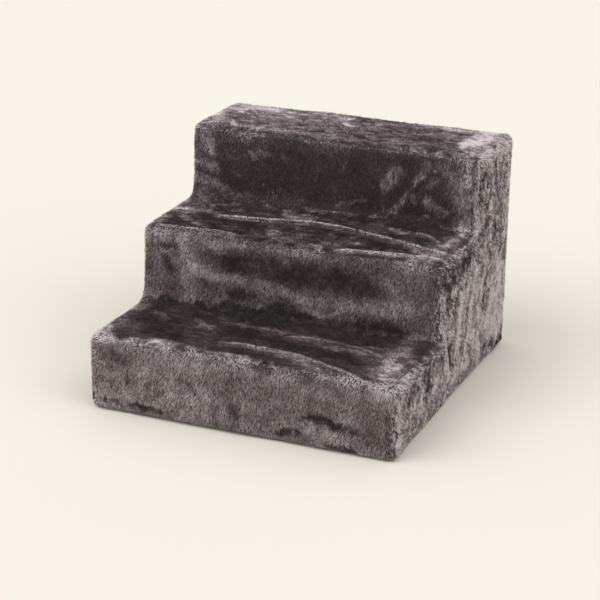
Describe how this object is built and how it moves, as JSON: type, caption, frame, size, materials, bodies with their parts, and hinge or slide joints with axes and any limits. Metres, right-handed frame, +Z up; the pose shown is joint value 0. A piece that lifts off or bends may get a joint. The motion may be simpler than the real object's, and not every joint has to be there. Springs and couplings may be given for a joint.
{
  "type": "pet stairs",
  "caption": "Free-standing stairs for a small pet: a plug-together plastic frame of slotted decks, tubes and lattice walls under a fitted plush cover.",
  "frame": {"origin": "the middle of the stairs' footprint, on the floor", "axes": "+Z up, +Y towards the back so that the first step faces -Y, +X to the right of someone who walks up"},
  "size_m": [0.41, 0.45, 0.3021],
  "materials": {
    "plush": "dark taupe plush with a short brushed pile",
    "elastic": "black woven elastic",
    "moulding": "off-white moulded polypropylene",
    "tube": "white extruded plastic tube",
    "rubber": "black rubber"
  },
  "bodies": {
    "root": {"cover_runner": "plush", "cover_side_left": "plush", "cover_side_right": "plush", "cover_hem": "plush", "hem_elastic": "elastic", "deck_lower": "moulding", "deck_middle": "moulding", "deck_upper": "moulding", "riser_panel_lower": "moulding", "riser_panel_middle": "moulding", "riser_panel_upper": "moulding", "back_panel_lower": "moulding", "back_panel_middle": "moulding", "back_panel_upper": "moulding", "side_panel_left_front": "moulding", "side_panel_left_middle": "moulding", "side_panel_left_back": "moulding", "side_panel_right_front": "moulding", "side_panel_right_middle": "moulding", "side_panel_right_back": "moulding", "post_front_left": "tube", "post_front_right": "tube", "post_second_lower_left": "tube", "post_second_lower_right": "tube", "post_second_upper_left": "tube", "post_second_upper_right": "tube", "post_third_lower_left": "tube", "post_third_lower_right": "tube", "post_third_upper_left": "tube", "post_third_upper_right": "tube", "post_back_left": "tube", "post_back_right": "tube", "base_rail_left": "moulding", "base_rail_right": "moulding", "cross_rail_front": "moulding", "cross_rail_second": "moulding", "cross_rail_third": "moulding", "cross_rail_back": "moulding", "rubber_feet": "rubber"}
  },
  "joints": []
}
